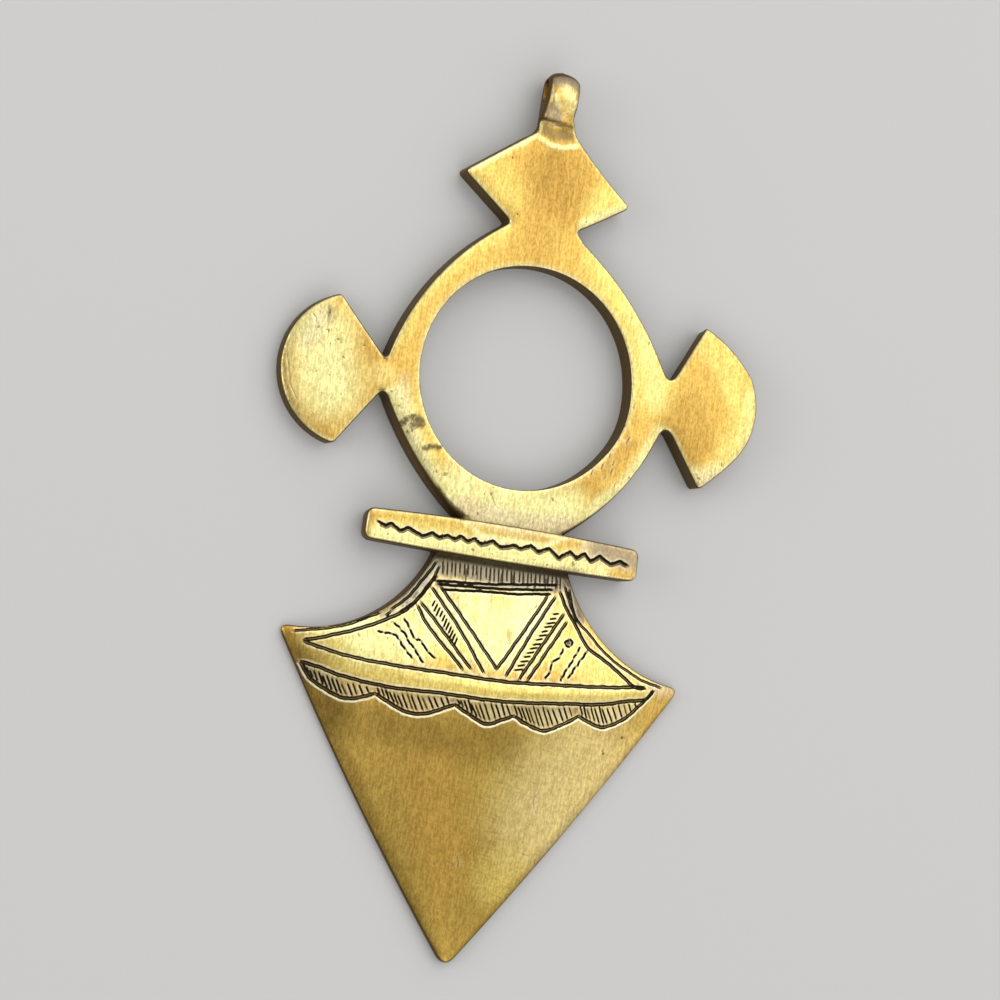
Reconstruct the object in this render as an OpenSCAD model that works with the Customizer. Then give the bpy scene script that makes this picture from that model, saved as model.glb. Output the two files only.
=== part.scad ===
// Cast brass cross pendant: a round-windowed ring with two fan paddles, a
// winged head and loop above, and a bar and a broad engraved blade below.
// It lies on its flat back at z = 0, with the loop towards +Y.

/* [Plate] */
// Thickness of the head, ring and paddles
plate_t = 3; // [2.4:0.1:4.2]
// Bevel along the front edges of the plate
bevel = 0.5; // [0.2:0.05:0.8]

/* [Ring] */
// Diameter of the round window
window_d = 23.9; // [18:0.1:30]
// Width of the ring's band at its lower right, where it is widest
ring_w = 4.1; // [3.4:0.1:5.2]
// How far the band's front slopes down on its way to the bar
ring_dip = 0.8; // [0.2:0.1:1.2]

/* [Head] */
// Width between the two side corners
head_w = 18.6; // [14:0.1:24]
// Rise of the side corners above the window's top edge
head_rise = 8.75; // [6.5:0.05:11]
// Rise from the side corners to the foot of the loop
crown_h = 5.7; // [4:0.1:8]
// Width of the throat between head and ring
throat_w = 8.2; // [5:0.1:10]
// How far the head and loop sit to the left of the window's centre
head_off = 0.4; // [0:0.1:1]

/* [Loop] */
// Width of the loop's front strap
loop_w = 3.8; // [3.2:0.1:5]
// Width of the loop's tail, where it meets the back plane
tail_w = 2.2; // [1.5:0.1:3]
// Diameter of the hole for the cord
cord_d = 2.4; // [1.6:0.1:2.8]
// Thickness of the strap round the hole
strap_t = 1.05; // [0.8:0.05:1.5]
// Length from the foot of the loop to its top
loop_l = 7; // [6.6:0.1:9]

/* [Paddles] */
// Distance from the window's centre to the outermost edge of each paddle
paddle_reach = 27; // [24:0.1:32]
// Radius of the right paddle's round outer edge
paddle_r = 8.8; // [7:0.1:11]
// Height of the right paddle's neck
paddle_neck = 3.5; // [2.6:0.1:5]
// How much the left paddle's front drops towards its outer edge
paddle_dip = 1.1; // [0.3:0.1:1.5]

/* [Bar] */
// Length of the cross bar
bar_l = 30.5; // [24:0.1:38]
// Height of the bar at its middle
bar_h = 4.1; // [3.7:0.1:5.5]
// Height of the bar at its ends
bar_end_h = 3.4; // [2.4:0.1:3.6]
// Thickness of the bar from the back plane to its face
bar_t = 3.5; // [3:0.1:4.5]
// Distance from the window's bottom edge to the bar
bar_gap = 3.9; // [3:0.1:5]

/* [Blade] */
// Length from the bar to the tip
blade_l = 42.7; // [34:0.1:52]
// Width between the two side tips
blade_w = 44.7; // [36:0.1:52]
// Width of the neck under the bar
neck_w = 15.4; // [11:0.1:19]
// Drop from the bar to the side tips
shoulder_drop = 10.4; // [8:0.1:12.5]
// Radius of the left shoulder's hollow curve
shoulder_r = 15.2; // [14:0.1:24]
// Radius of the long, nearly straight sides
side_r = 300; // [120:5:400]
// Drop from the bar to the crest across the blade
crest_drop = 13.4; // [12:0.1:16]
// Thickness at the middle of the crest
crest_t = 3.8; // [3:0.1:5]
// Thickness at the neck
neck_t = 2; // [1.5:0.1:2.8]
// Thickness at the side tips
edge_t = 0.9; // [0.5:0.1:1.4]
// Thickness at the bottom tip
tip_t = 1.15; // [0.8:0.05:1.8]

/* [Engraving] */
// Depth of the engraved lines
cut_d = 0.3; // [0.1:0.05:0.5]
// Width of the engraved lines
cut_w = 0.4; // [0.2:0.05:0.6]
// Number of teeth in the bar's zigzag line
teeth = 13; // [8:1:18]

/* [Hidden] */

brass = [0.78, 0.62, 0.28];
round_fn = 180;
far = 120;

window_r = window_d / 2;
window_break = 0.4 * bevel;

// Front arcs round the ring. Columns: direction of the arc's middle in
// degrees, band width there as a share of ring_w, radius as a share of window_d
ARC_DIR = 0;
ARC_WALL = 1;
ARC_R = 2;
RING_ARCS = [
    [149, 0.63, 1.16],
    [219, 0.84, 1.45],
    [ 41, 0.70, 1.51],
    [-31, 1.00, 1.12]
];

// Paddles. Columns: side, height of the axis as a share of ring_w, radius of
// the outer edge as a share of paddle_r, neck height as a share of
// paddle_neck, angles of the upper and lower straight edges in degrees,
// drop of the front as a share of paddle_dip
PAD_SIDE = 0;
PAD_AXIS = 1;
PAD_R = 2;
PAD_NECK = 3;
PAD_UP = 4;
PAD_DOWN = 5;
PAD_DIP = 6;
PADDLES = [
    [ 1,  0.03, 1.00, 1.00, 60.5, 56.5, 0],
    [-1, -0.56, 0.94, 1.27, 48.5, 54.5, 1]
];
paddle_neck_x = window_r + 1.05 * ring_w;
// Each paddle is worn rounder along its round rim than along its straight sides
rim_bevel = 1.2 * bevel;
side_bevel = 0.9 * bevel;

// Head outline, and the throat that joins it to the ring
corner_y = window_r + head_rise;
corner_tilt = 0.035 * head_rise;
head_top = corner_y + crown_h;
head_foot = [-head_off, window_r + 0.45 * ring_w];
throat_low = window_r + 0.4 * ring_w;
throat_top = head_foot[1] + 0.6 * (corner_y - head_foot[1]);
foot_half = 0.6 * loop_w;

// Loop: radius and centre of its round end seen from the side, radius of its
// crown seen from the front, the step up to the strap, and the scoop below it
loop_r = cord_d / 2 + strap_t;
loop_top = head_top + loop_l;
loop_y = loop_top - loop_r;
crown_r = 0.66 * loop_w;
step_low = head_top + 0.15 * loop_l;
step_high = head_top + 0.35 * loop_l;
scoop_r = 0.19 * loop_l;
scoop_y = head_top + 0.2 * scoop_r;
scoop_z = plate_t + 0.35 * scoop_r;

// Bar, with the swell of each long edge and the size of the zigzag line
bar_top = -window_r - bar_gap;
bar_y = bar_top - bar_h / 2;
bar_low = bar_top - bar_h;
bar_sag = (bar_h - bar_end_h) / 2;
bar_r = (pow(bar_l / 2, 2) + pow(bar_sag, 2)) / (2 * bar_sag);
bar_edge = 1.4 * bevel;
zigzag_l = 0.92 * bar_l;
zigzag_h = 0.14 * bar_h;

// Blade outline
neck_off = 0.026 * neck_w;
blade_off = -0.003 * blade_w;
tip_tilt = 0.05 * shoulder_drop;
tip_y = bar_low - blade_l;
left_tip = [blade_off - blade_w / 2, bar_low - shoulder_drop + tip_tilt];
right_tip = [blade_off + blade_w / 2, bar_low - shoulder_drop - tip_tilt];
low_tip = [0, tip_y];
left_neck = [neck_off - neck_w / 2, bar_low];
right_neck = [neck_off + neck_w / 2, bar_low];
right_shoulder_r = 1.08 * shoulder_r;

// Blade front: the panel rises from the neck to the crest and rolls off to
// both sides as a wide cylinder, and the lower part is a cone round the tip
crest_y = bar_low - crest_drop;
panel_tilt = atan((crest_t - neck_t) / crest_drop);
half_w = blade_w / 2;
tip_rise = (crest_t - neck_t) * shoulder_drop / crest_drop;
panel_r = pow(half_w, 2) / (2 * (neck_t + tip_rise - edge_t));
cone_y = tip_y - 0.012 * blade_l;
cone_rise = atan((crest_t - tip_t) / (crest_y - cone_y));
cone_side = [half_w, bar_low - shoulder_drop - cone_y, edge_t - tip_t];
cone_dip = atan((cos(cone_rise) - cone_side[1] / norm(cone_side))
    / (sin(cone_rise) - cone_side[2] / norm(cone_side)));
cone_half = cone_dip + cone_rise;
cone_h = 0.75 * blade_l;

// The part's own origin is under the middle of its outline
mid_y = (loop_top + tip_y) / 2;

// Engraved strokes on the blade. Each point is a share of the blade's half
// width to the right and a share of crest_drop down from the bar
BORDER_LEFT = [
    [-0.90, 0.84], [-0.75, 0.76], [-0.57, 0.64], [-0.48, 0.55],
    [-0.41, 0.45], [-0.36, 0.33], [-0.31, 0.18]
];
BORDER_RIGHT = [
    [0.31, 0.12], [0.36, 0.28], [0.44, 0.43], [0.51, 0.56],
    [0.61, 0.66], [0.72, 0.75], [0.825, 0.82]
];
BORDER_LOW = [
    [-0.90, 0.85], [-0.62, 0.91], [-0.23, 0.93], [0.08, 0.93],
    [0.385, 0.90], [0.825, 0.82]
];
CREST_LOW = [
    [-0.91, 1.00], [-0.70, 1.06], [-0.48, 1.09], [-0.20, 1.10],
    [0.10, 1.09], [0.35, 1.06], [0.58, 1.01], [0.785, 0.93], [0.865, 0.86]
];
PANEL_LINES = [
    [[-0.31, 0.20], [0.30, 0.09]],
    [[-0.27, 0.25], [0.25, 0.19]],
    [[-0.285, 0.25], [0.04, 0.82], [0.255, 0.21]],
    [[-0.33, 0.26], [-0.02, 0.87]],
    [[0.295, 0.19], [0.09, 0.87]],
    [[-0.375, 0.38], [-0.09, 0.86]],
    [[0.355, 0.32], [0.16, 0.88]]
];
// Cusps between the scallops, and the sag of each scallop as a share
SCALLOP_CUSPS = [
    [-0.905, 1.01], [-0.56, 1.19], [-0.15, 1.17],
    [0.155, 1.18], [0.485, 1.12], [0.865, 0.87]
];
SCALLOP_SAG = [0.15, 0.11, 0.10, 0.11, 0.16];
scallop_steps = 6;

// Point at a share of the blade's width and of the crest's drop
function blade_point(s) = [blade_off + s[0] * half_w, bar_low - s[1] * crest_drop];

// Unit vector at a right angle to the step from a to b, to its left
function side_of(a, b) = [a[1] - b[1], b[0] - a[0]] / norm(b - a);

// Offset of a stroke's corner i, mitred between the steps that meet there
function mitre(p, i) =
    let (n = len(p) - 1)
    let (before = side_of(p[max(i - 1, 0)], p[max(i - 1, 0) + 1]))
    let (after = side_of(p[min(i, n - 1)], p[min(i, n - 1) + 1]))
    (before + after) / (1 + before * after);

// Centre of the circle of radius r through a and b, to the left of a to b
function arc_centre(a, b, r) =
    (a + b) / 2 + side_of(a, b) * sqrt(pow(r, 2) - pow(norm(b - a) / 2, 2));

// Points from a to b that sag below the straight line by s at the middle
function sagging(a, b, s, steps) = [
    for (i = [0 : steps]) a + (b - a) * i / steps - [0, 4 * s * i * (steps - i) / pow(steps, 2)]
];

// Flat stroke of width w along the points p
module stroke(p, w) {
    left = [for (i = [0 : len(p) - 1]) p[i] + mitre(p, i) * w / 2];
    right = [for (i = [len(p) - 1 : -1 : 0]) p[i] - mitre(p, i) * w / 2];
    polygon(concat(left, right));
}

// Disc with a bevel round its front edge
module bevelled_disc(r, t, b) {
    rotate_extrude($fn = round_fn)
        polygon([[0, 0], [r, 0], [r, t - b], [r - b, t], [0, t]]);
}

// Plate to the left of the step from a to b, bevelled along that step
module bevelled_side(a, b, t, bev) {
    turn = atan2(b[1] - a[1], b[0] - a[0]);
    translate([a[0], a[1], 0])
        rotate([0, 0, turn])
            rotate([90, 0, 90])
                linear_extrude(height = far, center = true)
                    polygon([[0, 0], [far / 2, 0], [far / 2, t], [bev, t], [0, t - bev]]);
}

// Convex plate with bevelled edges, its corners listed anticlockwise
module bevelled_plate(p, t, bev) {
    intersection_for (i = [0 : len(p) - 1])
        bevelled_side(p[i], p[(i + 1) % len(p)], t, bev);
}

// Half space above a plane that passes through y = y0 at height z0 and
// falls by one in every 1 / slope towards -Y
module above_slope(y0, z0, slope) {
    translate([0, y0, z0])
        rotate([atan(slope), 0, 0])
            translate([-far / 2, -far, 0])
                cube([far, far, far / 4]);
}

// Band round the window, with four curved outer stretches. It slopes down to
// the bar and ends inside it
module ring() {
    dip_y = -window_r + 0.45 * ring_w;
    color(brass)
        difference() {
            intersection_for (a = RING_ARCS) {
                r = a[ARC_R] * window_d;
                back = window_r + a[ARC_WALL] * ring_w - r;
                translate([cos(a[ARC_DIR]) * back, sin(a[ARC_DIR]) * back, 0])
                    bevelled_disc(r, plate_t, bevel);
            }
            above_slope(dip_y, plate_t, ring_dip / (dip_y - bar_top));
            translate([-far / 2, bar_y - far, -1])
                cube([far, far, 2 * plate_t]);
        }
}

// The window, with a light break along its front edge
module window_cut() {
    translate([0, 0, -1])
        cylinder(h = plate_t + 2, d = window_d, $fn = round_fn);
    translate([0, 0, plate_t - window_break])
        cylinder(h = bevel, r1 = window_r, r2 = window_r + bevel, $fn = round_fn);
}

// Winged head with the throat that joins it to the ring
module head() {
    left = [-head_off - head_w / 2, corner_y + corner_tilt];
    right = [-head_off + head_w / 2, corner_y - corner_tilt];
    color(brass) {
        bevelled_plate([
            left, head_foot, right,
            [-head_off + foot_half, head_top], [-head_off - foot_half, head_top]
        ], plate_t, bevel);
        bevelled_plate([
            [-head_off - throat_w / 2, throat_low], [-head_off + throat_w / 2, throat_low],
            [-head_off + throat_w / 2, throat_top], [-head_off - throat_w / 2, throat_top]
        ], plate_t, bevel);
    }
}

// The loop seen from the side, run across its whole width
module loop_side() {
    rotate([90, 0, 90])
        linear_extrude(height = 2 * loop_w, center = true) {
            translate([loop_y, loop_r])
                circle(r = loop_r, $fn = round_fn);
            polygon([
                [corner_y, 0], [loop_y, 0], [loop_y, 2 * loop_r],
                [step_high, 2 * loop_r], [step_low, plate_t], [corner_y, plate_t]
            ]);
        }
}

// The loop seen along its length, a full strap in front and narrower behind
module loop_section() {
    translate([0, loop_top, 0])
        rotate([90, 0, 0])
            linear_extrude(height = loop_top)
                polygon([
                    [-tail_w / 2, 0], [tail_w / 2, 0],
                    [loop_w / 2, plate_t], [loop_w / 2, 3 * loop_r],
                    [-loop_w / 2, 3 * loop_r], [-loop_w / 2, plate_t]
                ]);
}

// The loop seen from the front, round at its crown
module loop_front() {
    linear_extrude(height = 3 * loop_r) {
        translate([0, loop_top - crown_r])
            circle(r = crown_r, $fn = round_fn);
        translate([-crown_r, corner_y])
            square([2 * crown_r, loop_top - crown_r - corner_y]);
    }
}

// Flared foot under the strap
module loop_foot() {
    linear_extrude(height = plate_t)
        polygon([
            [-foot_half, corner_y], [foot_half, corner_y], [foot_half, head_top],
            [loop_w / 2, step_low], [-loop_w / 2, step_low], [-foot_half, head_top]
        ]);
}

// Loop for the cord: a strap that rises in front, turns over and comes down
// behind as a narrower tail, flush with the back
module loop() {
    color(brass)
        translate([-head_off, 0, 0])
            difference() {
                union() {
                    intersection() {
                        loop_side();
                        loop_section();
                        loop_front();
                    }
                    loop_foot();
                }
                cord_hole();
            }
}

// Hole for the cord, straight across the loop
module cord_hole() {
    translate([0, loop_y, loop_r])
        rotate([0, 90, 0])
            cylinder(h = 2 * loop_w, d = cord_d, center = true, $fn = round_fn);
}

// Hollow filed across the foot of the loop
module foot_scoop() {
    translate([-head_off, scoop_y, scoop_z])
        rotate([0, 90, 0])
            cylinder(h = 2 * loop_w, r = scoop_r, center = true, $fn = round_fn);
}

// One fan-shaped paddle: a wedge out of a disc
module paddle(p) {
    r = p[PAD_R] * paddle_r;
    axis_y = p[PAD_AXIS] * ring_w;
    neck = p[PAD_NECK] * paddle_neck / 2;
    slope = p[PAD_DIP] * paddle_dip / (paddle_reach - paddle_neck_x);
    upper = [paddle_neck_x, axis_y + neck];
    lower = [paddle_neck_x, axis_y - neck];
    color(brass)
        mirror([p[PAD_SIDE] < 0 ? 1 : 0, 0, 0])
            difference() {
                intersection() {
                    translate([paddle_reach - r, axis_y, 0])
                        bevelled_disc(r, plate_t, rim_bevel);
                    bevelled_side(
                        upper + [cos(p[PAD_UP]), sin(p[PAD_UP])], upper,
                        plate_t, side_bevel
                    );
                    bevelled_side(
                        lower, lower + [cos(p[PAD_DOWN]), -sin(p[PAD_DOWN])],
                        plate_t, side_bevel
                    );
                }
                rotate([0, 0, 90])
                    above_slope(-paddle_neck_x, plate_t, slope);
            }
}

// Cross bar, a little fuller at its middle, standing proud of ring and neck
module bar() {
    reach = bar_h / 2 - bar_r;
    color(brass)
        translate([0, bar_y, 0])
            intersection() {
                translate([0, reach, 0])
                    bevelled_disc(bar_r, bar_t, bar_edge);
                translate([0, -reach, 0])
                    bevelled_disc(bar_r, bar_t, bar_edge);
                bevelled_side([-bar_l / 2, 1], [-bar_l / 2, 0], bar_t, bar_edge);
                bevelled_side([bar_l / 2, 0], [bar_l / 2, 1], bar_t, bar_edge);
            }
}

// Flat outline of the blade and its neck
module blade_outline() {
    difference() {
        intersection() {
            translate(arc_centre(left_tip, low_tip, side_r))
                circle(r = side_r, $fn = 4 * round_fn);
            translate(arc_centre(low_tip, right_tip, side_r))
                circle(r = side_r, $fn = 4 * round_fn);
            translate([blade_off - half_w, tip_y])
                square([blade_w, blade_l + bar_h / 2]);
        }
        translate(arc_centre(left_tip, left_neck, shoulder_r))
            circle(r = shoulder_r, $fn = round_fn);
        translate(arc_centre(right_neck, right_tip, right_shoulder_r))
            circle(r = right_shoulder_r, $fn = round_fn);
    }
}

// Everything under the blade's front surface, lowered by sink
module under_blade_front(sink) {
    intersection() {
        translate([0, bar_low, neck_t - sink])
            rotate([-panel_tilt, 0, 0])
                translate([0, 0, -panel_r])
                    rotate([90, 0, 0])
                        cylinder(h = 2 * far, r = panel_r, center = true, $fn = 3 * round_fn);
        translate([0, cone_y, tip_t - sink])
            rotate([-90 - cone_dip, 0, 0])
                cylinder(h = cone_h, r1 = 0, r2 = cone_h * tan(cone_half), $fn = 3 * round_fn);
    }
}

// Broad blade with its tilted panel, crest and rounded lower part
module blade() {
    color(brass)
        intersection() {
            linear_extrude(height = 2 * crest_t)
                blade_outline();
            under_blade_front(0);
        }
}

// Engraved lines on the blade, all of one depth below its front
module blade_engraving() {
    difference() {
        linear_extrude(height = 2 * crest_t) {
            for (line = concat([BORDER_LEFT, BORDER_RIGHT, BORDER_LOW, CREST_LOW], PANEL_LINES))
                stroke([for (s = line) blade_point(s)], cut_w);
            for (i = [0 : len(SCALLOP_SAG) - 1])
                stroke(sagging(
                    blade_point(SCALLOP_CUSPS[i]), blade_point(SCALLOP_CUSPS[i + 1]),
                    SCALLOP_SAG[i] * crest_drop, scallop_steps
                ), cut_w);
        }
        under_blade_front(cut_d);
    }
}

// Zigzag line along the bar
module bar_engraving() {
    zigzag = [
        for (i = [0 : 2 * teeth])
            [(i / teeth - 1) * zigzag_l / 2, bar_y + (i % 2 == 0 ? 1 : -1) * zigzag_h / 2]
    ];
    translate([0, 0, bar_t - cut_d])
        linear_extrude(height = 2 * cut_d)
            stroke(zigzag, cut_w);
}

// The whole casting, one solid
module cross_pendant() {
    color(brass)
        translate([0, -mid_y, 0])
            difference() {
                union() {
                    difference() {
                        union() {
                            ring();
                            head();
                            for (p = PADDLES)
                                paddle(p);
                        }
                        window_cut();
                    }
                    loop();
                    bar();
                    blade();
                }
                foot_scoop();
                blade_engraving();
                bar_engraving();
            }
}

cross_pendant();
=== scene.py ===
"""Aged satin brass cross pendant, cast and engraved by hand, lying on a pale floor."""

import math
from types import SimpleNamespace

import bpy
import numpy as np
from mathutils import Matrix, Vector
from mathutils.geometry import delaunay_2d_cdt
from mathutils.kdtree import KDTree


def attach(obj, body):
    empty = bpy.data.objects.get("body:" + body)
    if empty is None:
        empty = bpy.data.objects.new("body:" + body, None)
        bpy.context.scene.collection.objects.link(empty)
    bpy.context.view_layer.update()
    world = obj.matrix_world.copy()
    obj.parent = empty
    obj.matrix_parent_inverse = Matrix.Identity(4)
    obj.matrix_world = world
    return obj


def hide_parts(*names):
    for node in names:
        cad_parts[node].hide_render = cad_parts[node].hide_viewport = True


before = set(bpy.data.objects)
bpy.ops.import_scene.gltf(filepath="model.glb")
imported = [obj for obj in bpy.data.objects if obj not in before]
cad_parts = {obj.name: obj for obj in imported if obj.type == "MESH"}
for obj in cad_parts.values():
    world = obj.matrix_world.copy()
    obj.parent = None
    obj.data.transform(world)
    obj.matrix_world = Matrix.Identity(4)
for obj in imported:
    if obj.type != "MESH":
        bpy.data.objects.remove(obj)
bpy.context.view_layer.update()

# All sizes are in millimetres. The drawing's origin is the middle of the round
# window, on the back plane, with the loop towards +Y.
MM = 0.001
WINDOW_Y = 14.625
NODE = "cross_pendant"
rng = np.random.default_rng(7)

# Each outline runs anticlockwise. Columns: x, y, rounding of the corner, and
# radius of the arc to the next corner: 0 is straight, below 0 is hollow.
PLATE = [
    (4.36, -17.5, 0, 26.7), (16.48, -2.12, 1, 0),
    (21.25, -8.8, 0.5, 25), (25.28, -4.75, 1.5, 8.15), (25.96, 4.15, 1.5, 15),
    (19.85, 8.85, 0.45, 0), (16.43, 1.75, 0.9, 36.1),
    (4.6, 15.4, 0.3, 0), (3.55, 16.6, 0.4, 0), (4.7, 17.25, 1.2, 0),
    (9.35, 20.2, 0.6, -60), (2.4, 26.4, 1.5, 0), (1.42, 28.4, 2, 0),
    (1.45, 32.2, 0.5, 2), (-0.35, 33.36, 1.2, 2.6), (-2.05, 32.45, 0.7, 0),
    (-2.35, 26.55, 0.9, 0), (-9.96, 20.91, 0.55, 0), (-4.7, 16.85, 1.2, 0),
    (-4.1, 16.3, 0.4, 0), (-4.9, 15.7, 0.3, 27.7), (-15.75, -0.6, 0.5, 0),
    (-21.4, 5.6, 0.6, 8.2), (-20.2, -10.2, 0.7, 0),
    (-15.55, -3.5, 0.7, 34.7), (-3.04, -17.5, 0, 0),
]
BAR = [
    (15.2, -16.38, 1, 292), (-15.75, -16.25, 1, 0),
    (-15.8, -19.5, 1, 580), (15.2, -19.8, 1, 0),
]
BLADE = [
    (8.1, -18, 0, 0), (-7.3, -18, 0, 0), (-7.3, -20, 0.3, -15.09),
    (-23.05, -29.5, 0.8, 350), (0.15, -63.3, 1.35, 380),
    (22.95, -30.4, 0.8, -16.5), (8.1, -20, 0.3, 0),
]
window_r = 11.98
window_bulge = 0.2
window_bulge_dir = math.radians(-17)

# Heights above the back plane
plate_t = 3.0
bar_t = 3.5
bar_low = -19.95
neck_t = 2.0
crest_t = 3.7
crest_y = -33.35
panel_r = 100.0
cone_y = -63.16
tip_t = 1.15
cone_rise = math.atan((crest_t - tip_t) / (crest_y - cone_y))
cone_side = (22.35, 32.8, -0.25)
crest_blend = 0.25
roll_h = 0.1
roll_half = 0.95
back_round = 0.25

# Draft of the side walls, from the front to the back: the loop narrows, the bar's left
# end is undercut, and the right paddle's upper side leans
loop_draft = 0.35
loop_draft_y = (25.8, 27.6)
bar_draft = 0.6
bar_end_x = (-15.3, -14.3)
bar_y = -17.9
bar_half = 2.4
PADDLE_SIDE = [(16.9, 2.9), (19.85, 8.85)]
paddle_draft = (0.33, -0.16)
paddle_reach = 0.7

# Left paddle, which falls from its neck to its rim
left_neck_x = -16.25
left_run = 10.75
left_fall = 1.1
left_mid_y = -2.2
left_half = 9

# Bottom of the ring, which falls towards the bar
band_top = -10.1
band_run = 5.75
band_fall = 0.35
band_half = 15

# Loop, and the cutter for the cord's hole as x and radius, flared at both ends
loop_r = 2.25
loop_y = 31.15
loop_mid_x = -0.4
cord_r = 1.2
SPOOL = [(-3, 1.9), (-1.9, 1.36), (-1.5, cord_r), (1.1, cord_r), (1.5, 1.36), (3, 1.9)]
spool_shift = 0.2

# Loop's foot: a crease, a strap that rises above it, and a hollow with a rim below it
crease_y = 27.55
crease_lean = 0.1
crease_w = 0.2
strap_step = 0.15
strap_rise = 1.35
strap_low, strap_high = 26.9, 30.4
rim_y = 25.38
rim_bend = 0.155
rim_mid_x = 0.2
rim_h = 0.05
rim_w = 0.4
hollow_t = 0.22
hollow_top = 27.5
foot_low = 24
foot_half = 3.2

# Rounded front edges: radius, then depth and width of the soft fall inside them
PLATE_EDGE = (0.32, 0.17, 1.5)
BAR_EDGE = (0.4, 0.05, 0.8)
BLADE_EDGE = (0.22, 0.12, 0.9)
WINDOW_EDGE = (0.2, 0.04, 0.6)

# What wear adds to the plate's radius: at the loop, at the ring's left and at its bottom
loop_wear = 0.4
left_wear = 0.5
low_wear = 0.3

# Engraved lines on the blade, in points on the way
BORDER_TOP = [
    [(-21.35, -30.16), (-19.7, -29.82), (-17.6, -29.31), (-15.6, -28.62), (-12.46, -26.95)],
    [(-11.9, -27.24), (-11.45, -26.77)],
    [(-11.4, -26.5), (-9.94, -25.2), (-8.7, -23.5), (-7.6, -21.8), (-7, -20.8)],
    [(-10.45, -26.7), (-8.45, -24.8), (-7.27, -22.8), (-6.6, -21.2)],
    [(8.3, -21.6), (9.19, -24.3), (11.16, -26.1), (13.8, -28.2), (17.7, -30), (20.6, -30.6)],
    [(7.7, -21.3), (8.5, -23.1), (9.6, -25)],
]
BORDER = [
    [(-20.16, -30.99), (-17.56, -30.15), (-13.49, -28.5), (-9.68, -26.2), (-7.5, -23.2),
     (-6.9, -22.4)],
    [(7.2, -22), (8.05, -23.56), (9.55, -25.57), (11.05, -27.52), (12.58, -28.28),
     (15.18, -29.74), (17, -30.9), (18.5, -30.9)],
    [(-20.1, -31.1), (-17.36, -31.7), (-14.17, -32.12), (-9.9, -32.32), (-5.8, -32.36),
     (1.63, -32.4), (7.5, -31.98), (13.49, -31.45), (18.35, -30.8)],
    [(-20.1, -33.2), (-18.06, -33.59), (-15.9, -34.1), (-12.7, -34.5), (-9.5, -34.66),
     (-5.2, -34.54), (1.9, -34.5), (9.6, -33.75), (13.2, -33.35), (16.8, -32.5),
     (18.7, -32.1), (19.6, -31)],
]
SCALLOPS = [
    [(-20.1, -33.3), (-18.86, -34.8), (-16.6, -36), (-14.5, -36.4), (-12, -35.5)],
    [(-12, -35.5), (-10.3, -36.3), (-8.05, -37.05), (-5.9, -36.7), (-3.43, -35.5)],
    [(-3.43, -35.5), (-1.6, -36.4), (0.43, -37.1), (2.1, -36.4), (3.3, -35.85)],
    [(3.3, -35.85), (5.3, -36.65), (7, -36.95), (8.84, -36.2), (10.9, -34.9)],
    [(10.9, -34.9), (12.4, -35.45), (14.3, -35.65), (16.6, -34.4), (18.2, -32.75),
     (19.5, -31.1)],
]
TOP_LINES = [
    [(-6.85, -22.8), (-1.5, -22.4), (1.74, -21.98), (6.93, -21.28)],
    [(-6.7, -23.15), (-0.85, -22.77), (1.79, -22.51), (6.4, -21.9)],
    [(-6.1, -23.66), (-0.82, -23.15), (1.83, -23), (6.24, -22.37)],
]
PANEL = [
    [(-6.27, -23.4), (-2.9, -27.1), (0.72, -31.2)], [(0.72, -31.2), (3.1, -27.3), (5.8, -22.7)],
    [(-7.25, -23.6), (-3.77, -27.6), (-0.7, -31.8)], [(6.7, -22.6), (4.14, -27.2), (1.8, -31.8)],
    [(-8.64, -25.7), (-7.07, -27.9), (-3.07, -31.7)],
    [(-8.3, -25.3), (-6.4, -27.2), (-2.18, -31.6)],
    [(7.88, -24.3), (5.6, -28.1), (3.31, -32)], [(8.31, -25.1), (6.2, -28.7), (4.34, -31.9)],
]
FIELD = [
    [(-9.91, -27.29), (-8.65, -29.18), (-8.03, -29.3), (-6.88, -30.6), (-6.23, -31)],
    [(-10.94, -27.84), (-9.84, -28.8), (-9.16, -29.6), (-8.34, -30.6), (-7.24, -31.9)],
    [(-12.64, -29), (-10.75, -29.15), (-9.72, -30.2), (-8.59, -31.4)],
    [(8.13, -28), (7.8, -28.9), (7.35, -29.3), (6.93, -29.9), (6.9, -30.6), (6.3, -31.4)],
    [(10.2, -27.6), (9.4, -29.05), (8.05, -31.4)],
    [(10.94, -28), (10.2, -29.1), (9, -31.1)],
    [(8.83, -26.85), (9.16, -27.25), (8.7, -27.7), (8.27, -27.3), (8.83, -26.85)],
]
ZIGZAG = [
    (-14.6, -17.6), (-13.6, -17.9), (-13, -17.6), (-12, -18.2), (-11.2, -17.75),
    (-9.5, -18.4), (-8.4, -17.9), (-7.6, -18.3), (-6.7, -17.9), (-5.9, -18.2),
    (-5.3, -17.8), (-4.4, -18.2), (-3.6, -17.8), (-2.9, -18.3), (-1.6, -17.8),
    (-0.6, -18.3), (0.8, -17.9), (1.6, -18.1), (2.7, -17.6), (3.6, -18.2), (4.8, -17.6),
    (6, -18.5), (7.2, -17.6), (8, -18.2), (8.9, -17.6), (9.6, -18.3), (10.6, -17.6),
    (11.9, -18.3), (13, -17.8), (14, -18.2),
]
HATCHES = [
    # guide line, spacing, length, direction, half width and depth of the strokes
    ([(-6.6, -20.5), (0.5, -20.4), (7.6, -20.2)], 0.48, 1.7, (0.05, -1), 0.065, 0.055),
    ([(-6.5, -21), (0.5, -20.9), (7.4, -20.6)], 1.3, 1.5, (0, -1), 0.06, 0.045),
    ([(-7, -24.7), (-5.6, -26.2), (-3.7, -28.9)], 0.46, 1, (-0.33, -0.94), 0.075, 0.1),
    ([(6.7, -24.3), (4.6, -28), (2.5, -31.4)], 0.58, 1.05, (0.93, 0.25), 0.075, 0.085),
]
SCALLOP_ROOF = BORDER[3][:11]
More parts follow.
